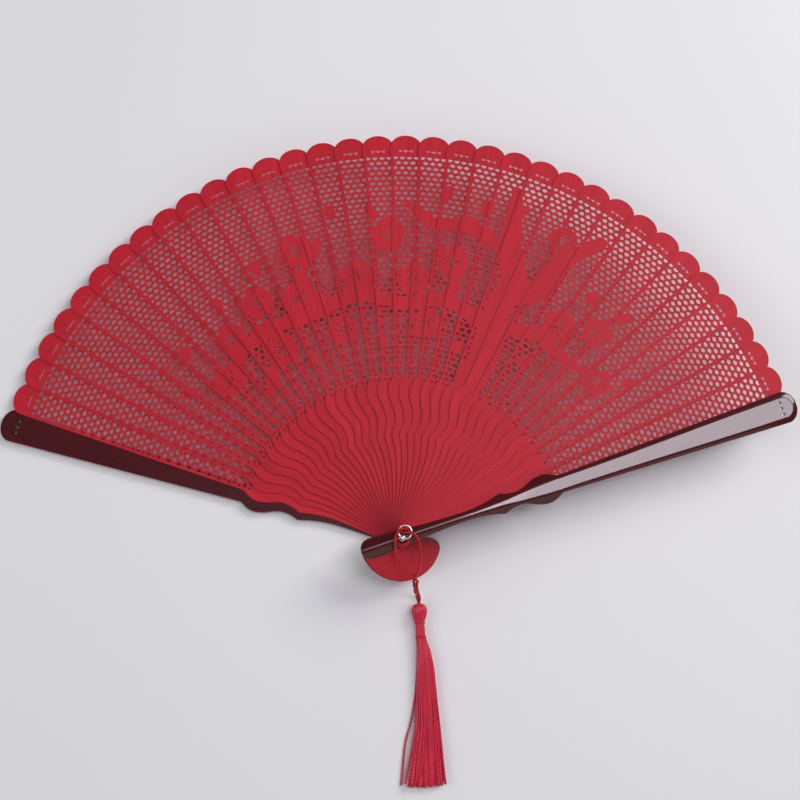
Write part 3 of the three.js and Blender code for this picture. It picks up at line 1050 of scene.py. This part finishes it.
# The yarn that has left the others, as (place from the head's top, how far left of the middle).
STRAY_YARN = [(0.0072, 0.0012), (0.015, 0.0020), (0.03, 0.0038), (0.043, 0.0052), (0.052, 0.0071),
              (0.062, 0.0097), (0.072, 0.0106), (0.0815, 0.0112)]
STRAY_SMOOTHING = 12


def stem_plies(radius):
    """The two strands of the stem, each a row of points that winds round the stem's middle."""
    middle = smooth_route([Vector(p) for p in STEM_ROUTE], STEM_STEP)
    plies = ([], [])
    run = 0.0
    for i, (point, way) in enumerate(zip(middle, ways_along(middle))):
        across = (Vector((1, 0, 0)) - way * way.x).normalized()
        other = way.cross(across)
        if i:
            run += (point - middle[i - 1]).length
        turn = math.pi / 2 + math.pi * (run - STRAND_CROSSING) / STRAND_HALF_TURN
        for k, ply in enumerate(plies):
            angle = turn + math.pi * k
            ply.append(point + radius * (math.cos(angle) * across + math.sin(angle) * other))
    return plies


def hang_cord(hanging, cord_material, yarn_material):
    """The doubled cord from its ends in the tassel up the stem and once round the eye."""
    radius = hanging.cord_diameter / 2
    right, left = stem_plies(STRAND_APART * radius)
    head_low, head_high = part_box("tassel_head")
    skirt_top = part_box("tassel_skirt")[1].y
    middle_x = (head_low.x + head_high.x) / 2

    def hidden(edge, place):
        return Vector((middle_x + place[0], edge + place[1], place[2]))

    core = [hidden(head_low.y, place) for place in CORD_END_IN_HEAD]
    core += [hidden(skirt_top, place) for place in CORD_END_IN_SKIRT]
    loop = [Vector(p) for p in CORD_ROUTE]
    points = [hidden(head_high.y, SECOND_END), *right[::-1], *loop, *left, *core]
    whole = smooth_route(points, CORD_STEP)
    over = loop[CORD_CROSSING]
    crossing = min(range(len(whole) // 2), key=lambda i: (whole[i] - over).length)
    plies = rope_plies(whole, radius, 2, ROPE_LAY)
    thick = PLY_SHARE * radius

    def half_cord(name, first, last, replaced):
        rows = [ply[first:last] for ply in plies]
        middle = whole[first:last]
        mesh = tube_mesh(name, rows, lambda share, turn, run: thick, CORD_SIDES, middle, 2 * thick)
        return add_object(name, mesh, [cord_material], "rivet", replaced)

    cord = half_cord("hanging_cord", crossing, len(whole), ["tassel_cord", "cord_knot"])
    strand = half_cord("second_strand", 0, crossing + 1, ["cord_stem"])
    tassel = make_tassel(hanging, cord_material, yarn_material)
    route = whole[crossing::3]
    total = sum((b - a).length for a, b in zip(route, route[1:]))
    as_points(route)


def make_tassel(hanging, cord_material, yarn_material):
    """The tassel's head, the ties round its neck and the two halves of its skirt."""
    low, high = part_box("tassel_head")
    middle = Vector(((low.x + high.x) / 2, high.y, (low.z + high.z) / 2))
    lying = Matrix.Translation(middle) @ Matrix.Rotation(math.pi / 2, 4, "X")
    mesh = drawn_head("tassel_head_yarn", high.y - low.y + HEAD_OVERLAP, (high.x - low.x) / 2)
    head = add_object(mesh.name, mesh, [yarn_material], "rivet", ["tassel_head"], lying)
    ties = []
    for place, turns, reach in NECK_TIES:
        wraps = []
        for i in range(turns * TIE_STEPS + 1):
            angle = 2 * math.pi * i / TIE_STEPS
            wraps.append(Vector((
                middle.x + between(TASSEL_STRAY, place) + reach * math.cos(angle),
                middle.y - place - TIE_PITCH * angle / (2 * math.pi),
                TASSEL_HEIGHT + 0.95 * reach * math.sin(angle),
            )))
        ties.append(wraps)
    mesh = tube_mesh("tassel_neck_ties", ties, lambda share, turn, run: TIE_RADIUS, 8)
    tie = add_object(mesh.name, mesh, [cord_material], "rivet", ["tassel_band"])
    pieces = [head, tie]
    strands = skirt_strands(hanging, middle)
    halves = {"skirt_yarn_a": (strands[::2], ["tassel_skirt"]), "skirt_yarn_b": (strands[1::2], [])}
    for name, (part, replaced) in halves.items():
        mesh = tube_mesh(name, part, strand_radius(hanging), 8)
        pieces.append(add_object(name, mesh, [yarn_material], "rivet", replaced))
    return pieces


def drawn_head(name, tall, half):
    """A ball of yarn drawn down over a knot, folded and ridged from crown to neck, along +Z."""
    around, along = 264, 60
    groove_depth, fold_depth, swirl_turn = 0.09, 0.05, 0.35
    built = bmesh.new()
    rings, crowns = [], []
    for j in range(along + 1):
        share = j / along
        body = half * between(HEAD_PROFILE, share)
        ring = []
        for k in range(around):
            turn = 2 * math.pi * k / around
            swirl = turn + swirl_turn * share + 0.1 * math.sin(3 * turn + 5 * share)
            ridge = abs(math.cos(HEAD_RIDGES / 2 * swirl)) ** 0.7
            fold = fold_depth * math.sin(4 * turn + 2.6 * share)
            fold *= math.sin(math.pi * min(1.0, 1.3 * share))
            reach = body * (0.86 + groove_depth * ridge + fold)
            # The crown is low between the ridges, where the yarn's material paints shade.
            crowns.append(0.76 + 0.24 * ridge)
            place = (reach * math.cos(turn), reach * math.sin(turn), tall * share)
            ring.append(built.verts.new(place))
        rings.append(ring)
    sunk = Vector((0, 0, -0.02 * tall))
    crown = [built.verts.new(0.45 * vert.co + sunk) for vert in rings[0]]
    skin(built, [crown, *rings])
    bmesh.ops.recalc_face_normals(built, faces=built.faces)
    mesh = mesh_from(built, name, True)
    mark_crowns(mesh, crowns + crowns[:around])
    return mesh


def skirt_strands(hanging, start):
    """The tassel's yarns, each a row of points from inside its head to its end on the floor."""
    draw = random.Random(hanging.seed)
    long = start.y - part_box("tassel_skirt")[0].y - YARN_FROM
    width = hanging.strand_width
    strands = []
    for i in range(hanging.strand_count):
        away = math.sqrt((i + 0.5) / hanging.strand_count)
        turn = i * GOLDEN_TURN
        u, v = away * math.cos(turn), away * math.sin(turn)
        own = long * (1 - 0.04 * draw.random() - 0.01 * away)
        phase, wave = 2 * math.pi * draw.random(), 0.0001 + 0.0003 * draw.random()
        stray = 0.0012 * (draw.random() - 0.5)
        points = []
        for j in range(YARN_STEPS + 1):
            share = j / YARN_STEPS
            run = YARN_FROM + own * share
            loose = max(0.0, (run - LOOSE_FROM) / long) ** 1.3
            half = between(TASSEL_HALF, run) - 0.45 * width
            x = start.x + between(TASSEL_STRAY, run) + u * half
            x += (stray + wave * math.sin(phase + 9 * share)) * loose
            flat = 0.0019 + 0.0004 * math.sin(math.pi * min(1.0, 1.2 * share))
            z = TASSEL_HEIGHT - 0.0004 * min(1.0, 2.0 * share) + v * flat * (1 - 0.2 * share)
            z += 0.5 * wave * math.cos(phase + 11 * share) * loose
            points.append(Vector((x, start.y - run, max(z, 0.55 * width))))
        strands.append(points)
    strands.append(stray_strand(start))
    return strands


def stray_strand(start):
    """The one yarn that has left the others and lies beside them."""
    points = []
    for j in range(YARN_STEPS + 1):
        run = YARN_FROM + (STRAY_YARN[-1][0] - YARN_FROM) * j / YARN_STEPS
        x = start.x + between(TASSEL_STRAY, run) - between(STRAY_YARN, run)
        height = TASSEL_HEIGHT - 0.0023 * min(1.0, 3 * j / YARN_STEPS)
        points.append(Vector((x, start.y - run, height)))
    for _ in range(STRAY_SMOOTHING):
        inner = [(a + b + c) / 3 for a, b, c in zip(points, points[1:], points[2:])]
        points = [points[0], *inner, points[-1]]
    return points


def strand_radius(hanging):
    """A two-ply yarn's surface, which swells where it is loose."""
    def at(share, turn, run):
        body = 0.5 * hanging.strand_width * (0.62 + 0.38 * min(1.0, 4 * share))
        return body * (0.78 + 0.24 * abs(math.cos(turn - 2 * math.pi * run / YARN_LAY)))

    return at


# ---------------------------------------------------------------- the leaves and guards

# The guard's flat ridge in millimetres: places along it and its half width there.
GUARD_RIDGE = [(-21.4, 0.5), (36, 0.5), (50, 1.1), (68, 2.6), (85, 2.6), (100, 2.8), (186, 5.1)]
RIDGE_END = 5.6
RIDGE_FROM_TIP = 2.0
# How the flanks fall from the ridge, in millimetres a millimetre and more with its square.
FLANK_FALL = 0.26
FLANK_CURVE = 0.055
RIM_ROUND = 0.7
# Where a guard's lines of vertices run, as shares of its half width.
GUARD_LINES = [1, 0.988, 0.972, 0.95, 0.92, 0.89, 0.855, 0.82, 0.785, 0.75, 0.715, 0.68, 0.645,
               0.61, 0.57, 0.53, 0.48, 0.42, 0.35, 0.26, 0.17, 0.08]
GUARD_CURVE_STEPS = 14
GUARD_THREAD_HOLE = 0.8
# The hole that the rivet's flat head is sunk in.
SUNK_RADIUS = 2.45
SUNK_DEPTH = 1.1
DRILL_REACH = 0.01


def stick_bearing(node):
    """Which way a stick points at rest, from the fan's middle."""
    numbers = {"back_guard": 0, "front_guard": len(LEAVES) + 1}
    number = numbers[node] if node in numbers else LEAVES.index(node) + 1
    return math.radians(OPEN_ANGLE / 2 - number * STEP_ANGLE)


def stick_place(node, turn_over=False):
    """The place of a stick's own mesh: its middle height, turned to its bearing."""
    low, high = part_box(node)
    place = Matrix.Translation((0, 0, (low.z + high.z) / 2))
    place = place @ Matrix.Rotation(stick_bearing(node), 4, "Z")
    return place @ Matrix.Rotation(math.pi, 4, "Y") if turn_over else place


def make_leaves(piercing, material):
    side = stick_side(LEAF_LENGTH)
    outline = side + [Vector((-p.x, p.y)) for p in reversed(side[1:-1])]
    rounds = picture_parts()
    for number, node in enumerate(LEAVES, 1):
        bearing = stick_bearing(node)
        low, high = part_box(node)
        holes = lattice_holes(piercing, bearing, rounds)
        holes += heart_cuts(piercing, bearing, side)
        holes += thread_holes(LEAF_LENGTH)
        holes.append(regular((0, 0), BORE_RADIUS, 24))
        name = "pierced_" + node
        mesh = plate_mesh(name, outline, holes, high.z - low.z, piercing.edge_round)
        place = stick_place(node)
        piece = add_object(name, mesh, [material], node, [node], place)
        piece.pass_index = number


def crown_height(x, y, thick, half):
    """The guard's upper face: a flat ridge with a rounded end, falling flanks and an eased rim."""
    ridge = between(GUARD_RIDGE, y)
    past = abs(x) - ridge
    end_from = GUARD_LENGTH - RIDGE_END - RIDGE_FROM_TIP
    if y > end_from:
        reach = math.hypot(x / ridge, (y - end_from) / RIDGE_END)
        past = max(past, (reach - 1) * ridge)
    soft = 0.5 * (past + math.sqrt(past * past + 0.02))
    to_end = min(GUARD_LENGTH - y, y - HEAD_CENTRE + HEAD_RADIUS)
    rim = max(0.0, min(1.0, (half - abs(x)) / RIM_ROUND, to_end / RIM_ROUND))
    eased = RIM_ROUND * 0.8 * (1 - math.sqrt(max(0.0, 1 - (1 - rim) ** 2)))
    return thick - FLANK_FALL * soft - FLANK_CURVE * soft * soft - eased


def guard_mesh(name, thick):
    """A guard with its flat face down and its crown up."""
    side = stick_side(GUARD_LENGTH, GUARD_CURVE_STEPS)
    shares = [-share for share in GUARD_LINES] + [0.0] + GUARD_LINES[::-1]
    built = bmesh.new()
    tops, bottoms = [], []
    for station in side:
        half = max(station.x, 0.02)
        top, bottom = [], []
        for share in shares:
            x = share * half
            z = crown_height(x, station.y, thick, half)
            top.append(built.verts.new((x * MM, station.y * MM, (z - thick / 2) * MM)))
            bottom.append(built.verts.new((x * MM, station.y * MM, -thick / 2 * MM)))
        tops.append(top)
        bottoms.append(bottom)
    lines = range(len(shares) - 1)
    for (top, top_on), (low, low_on) in zip(zip(tops, tops[1:]), zip(bottoms, bottoms[1:])):
        for k in lines:
            built.faces.new((top[k], top[k + 1], top_on[k + 1], top_on[k]))
            flat = built.faces.new((low[k], low_on[k], low_on[k + 1], low[k + 1]))
            flat.material_index = 1
        built.faces.new((top[0], top_on[0], low_on[0], low[0]))
        built.faces.new((top[-1], low[-1], low_on[-1], top_on[-1]))
    for row, way in ((0, 1), (-1, -1)):
        for k in lines:
            corners = [tops[row][k], bottoms[row][k], bottoms[row][k + 1], tops[row][k + 1]]
            built.faces.new(corners[::way])
    bmesh.ops.recalc_face_normals(built, faces=built.faces)
    return mesh_from(built, name)


def make_guards(lacquer, stain):
    for node, over in (("back_guard", True), ("front_guard", False)):
        low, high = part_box(node)
        thick = (high.z - low.z) / MM
        name = node + "_wood"
        blank = guard_mesh(name, thick)
        ends = (-DRILL_REACH, DRILL_REACH)
        at = (GUARD_LENGTH - THREAD_HOLES_FROM_TIP) * MM
        places = [k * THREAD_HOLE_PITCH * MM for k in (-1, 0, 1)]
        drills = [drill(GUARD_THREAD_HOLE * MM, place, at, *ends, 24) for place in places]
        drills.append(drill(BORE_RADIUS * MM, 0, 0, *ends))
        if over:
            sunk_to = (thick / 2 - SUNK_DEPTH) * MM
            drills.append(drill(SUNK_RADIUS * MM, 0, 0, sunk_to, DRILL_REACH))
        for material in (lacquer, stain):
            blank.materials.append(material)
        mesh = cut_mesh(name, blank, drills)
        sharpen(mesh, 32)
        place = stick_place(node, over)
        add_object(name, mesh, [lacquer, stain], node, [node], place)


# ---------------------------------------------------------------- the rivet and ring, in metres

FLAT_HEAD = 0.0022
SHANK = 0.0013
BALL = 0.00135
CAP = 0.0016
CAP_EDGE = 0.0015
BALL_NECK = 0.0011
EYE_HOLE = 0.00075
EYE_DRILL = 0.004
BALL_STEPS = 24
RING_STEPS = 97
# Where the wire's ends meet, in degrees from the ring's bearing.
RING_JOIN = 40


def make_rivet(steel):
    """The rivet's pin, its cap with the drilled ball, and the ring through it."""
    low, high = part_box("rivet_pin")
    steps = [(0, 0), (FLAT_HEAD - 0.0003, 0), (FLAT_HEAD - 0.00008, 0.0001), (FLAT_HEAD, 0.0003),
             (FLAT_HEAD, 0.0008), (SHANK, 0.0009)]
    profile = [(radius, low.z + height) for radius, height in steps]
    pin = lathe_mesh("rivet_shank", [*profile, (SHANK, high.z), (0, high.z)], 48)
    sharpen(pin, 30)
    add_object("rivet_shank", pin, [steel], "rivet", ["rivet_pin"])

    low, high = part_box("rivet_eye")
    eye_z = high.z - BALL
    steps = [(0, 0), (CAP_EDGE, 0), (CAP, 0.0001), (CAP, 0.0004), (CAP_EDGE, 0.0005),
             (BALL_NECK, 0.0006)]
    profile = [(radius, low.z + height) for radius, height in steps]
    for i in range(3, BALL_STEPS + 1):
        turn = math.pi * i / BALL_STEPS
        height = eye_z - BALL * math.cos(turn)
        if height > low.z + 0.0007:
            profile.append((BALL * math.sin(turn), height))
    profile[-1] = (0, high.z)
    eye = lathe_mesh("rivet_eye_ball", profile, 48)
    ring_low, ring_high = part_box("ring")
    centre = (ring_low + ring_high) / 2
    bearing = math.atan2(centre.y, centre.x)
    hole = drill(EYE_HOLE, 0, 0, -EYE_DRILL, EYE_DRILL)
    turned = Matrix.Rotation(bearing + math.pi / 2, 4, "Z") @ Matrix.Rotation(math.pi / 2, 4, "Y")
    hole.transform(Matrix.Translation((0, 0, centre.z)) @ turned)
    eye = cut_mesh("rivet_eye_ball", eye, [hole])
    sharpen(eye, 35)
    add_object("rivet_eye_ball", eye, [steel], "rivet", ["rivet_eye"])

    wire = (ring_high.z - ring_low.z) / 2
    reach = (ring_high.x - ring_low.x) / 2 - wire
    loop = []
    for i in range(RING_STEPS):
        turn = bearing + math.radians(RING_JOIN) + 2 * math.pi * i / RING_STEPS
        loop.append(centre + reach * heading(turn).to_3d())
    mesh = tube_mesh("wire_ring", [loop], lambda share, turn, run: wire, 16)
    add_object("wire_ring", mesh, [steel], "rivet", ["ring"])


# ---------------------------------------------------------------- the linking thread

# The thread's half width and half thickness in metres.
THREAD_WIDE = 0.00019
THREAD_THIN = 0.00007
THREAD_SIDES = 8
# How far a stitch reaches to the left and right of a leaf's middle, and lies off its two faces.
STITCH_LEFT = 5.6
STITCH_RIGHT = TIP_HALF - 0.1
STITCH_OVER = 0.09
STITCH_UNDER = 0.07


def stitch_points(at, half):
    """A thread over the wood between its outer holes, and under it on to the sticks beside."""
    pitch, top, under = THREAD_HOLE_PITCH, half, -half
    level, below = top + STITCH_OVER, under - STITCH_UNDER
    places = [
        (-STITCH_LEFT, below), (-pitch - 0.5, below), (-pitch, under), (-pitch + 0.2, top),
        (-pitch + 0.6, level), (-0.6, level), (-0.25, top - 0.1), (0, under + 0.1),
        (0.25, top - 0.1), (0.6, level), (pitch - 0.6, level), (pitch - 0.2, top),
        (pitch, under), (pitch + 0.5, below), (STITCH_RIGHT, below),
    ]
    return [Vector((across, at, height)) * MM for across, height in places]


def flat_tube(name, points):
    """A flat thread: its width lies along the stick, and its thickness is square to its run."""
    built = bmesh.new()
    wide = Vector((0, 1, 0))
    rings = []
    for point, way in zip(points, ways_along(points)):
        thin = way.cross(wide).normalized()
        ring = []
        for k in range(THREAD_SIDES):
            turn = 2 * math.pi * k / THREAD_SIDES
            out = THREAD_WIDE * math.cos(turn) * wide + THREAD_THIN * math.sin(turn) * thin
            ring.append(built.verts.new(point + out))
        rings.append(ring)
    skin(built, rings)
    bmesh.ops.recalc_face_normals(built, faces=built.faces)
    return mesh_from(built, name, True)


def stitch_sticks(material):
    """The linking thread, one stitch on each leaf, so that it rides with it."""
    for node in LEAVES:
        low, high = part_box(node)
        half = (high.z - low.z) / 2 / MM
        mesh = flat_tube("thread_" + node, stitch_points(LEAF_LENGTH - THREAD_HOLES_FROM_TIP, half))
        add_object(mesh.name, mesh, [material], node, (), stick_place(node))


# ---------------------------------------------------------------- operators, panel and registration


class FAN_OT_stage(bpy.types.Operator):
    """Set up the camera, the pale floor and the soft lights"""

    bl_idname = "fan.stage"
    bl_label = "Camera, floor and lights"

    def execute(self, context):
        stage_up(context.scene.fan_stage)
        return {"FINISHED"}


class FAN_OT_cord_and_tassel(bpy.types.Operator):
    """Hitch the twisted cord round the eye through the ring, with its tassel"""

    bl_idname = "fan.cord_and_tassel"
    bl_label = "Cord and tassel"

    def execute(self, context):
        hanging = context.scene.fan_hanging
        cord = shared_material(silk_cord, hanging)
        yarn = shared_material(silk_yarn, hanging)
        hang_cord(hanging, cord, yarn)
        return {"FINISHED"}


class FAN_OT_leaves(bpy.types.Operator):
    """Pierce the thin leaves, with a branch in blossom left solid across them"""

    bl_idname = "fan.leaves"
    bl_label = "Pierced leaves"

    def execute(self, context):
        wood = shared_material(dyed_sandalwood, context.scene.fan_wood)
        make_leaves(context.scene.fan_piercing, wood)
        return {"FINISHED"}


class FAN_OT_guards(bpy.types.Operator):
    """Shape and lacquer the two guards"""

    bl_idname = "fan.guards"
    bl_label = "Guards"

    def execute(self, context):
        wood = context.scene.fan_wood
        make_guards(shared_material(gloss_lacquer, wood), shared_material(matt_stain, wood))
        return {"FINISHED"}


class FAN_OT_rivet_and_ring(bpy.types.Operator):
    """Turn the rivet with its drilled eye, and bend the ring through it"""

    bl_idname = "fan.rivet_and_ring"
    bl_label = "Rivet and ring"

    def execute(self, context):
        make_rivet(shared_material(polished_steel, context.scene.fan_hanging))
        return {"FINISHED"}


class FAN_OT_thread(bpy.types.Operator):
    """Stitch the linking thread through the leaves' tips"""

    bl_idname = "fan.thread"
    bl_label = "Linking thread"

    def execute(self, context):
        stitch_sticks(shared_material(pink_thread, context.scene.fan_hanging))
        return {"FINISHED"}


OPERATORS = (
    FAN_OT_stage,
    FAN_OT_cord_and_tassel,
    FAN_OT_leaves,
    FAN_OT_guards,
    FAN_OT_rivet_and_ring,
    FAN_OT_thread,
)
GROUPS = {
    "fan_piercing": FanPiercing,
    "fan_wood": FanWood,
    "fan_hanging": FanHanging,
    "fan_stage": FanStage,
}


class FAN_PT_panel(bpy.types.Panel):
    """Lists the fan's pieces and their settings"""

    bl_label = "Pierced fan"
    bl_idname = "FAN_PT_panel"
    bl_space_type = "VIEW_3D"
    bl_region_type = "UI"
    bl_category = "Fan"

    def draw(self, context):
        for operator in OPERATORS:
            self.layout.operator(operator.bl_idname)
        for name, group in GROUPS.items():
            box = self.layout.box()
            for key in group.__annotations__:
                box.prop(getattr(context.scene, name), key)


def register():
    for name, group in GROUPS.items():
        bpy.utils.register_class(group)
        setattr(bpy.types.Scene, name, PointerProperty(type=group))
    for kind in (*OPERATORS, FAN_PT_panel):
        bpy.utils.register_class(kind)


def unregister():
    for kind in reversed((*OPERATORS, FAN_PT_panel)):
        bpy.utils.unregister_class(kind)
    for name, group in reversed(GROUPS.items()):
        delattr(bpy.types.Scene, name)
        bpy.utils.unregister_class(group)


def main():
    register()
    bpy.ops.fan.stage()
    bpy.ops.fan.cord_and_tassel()
    bpy.ops.fan.leaves()
    bpy.ops.fan.guards()
    bpy.ops.fan.rivet_and_ring()
    bpy.ops.fan.thread()


if __name__ == "__main__":
    main()
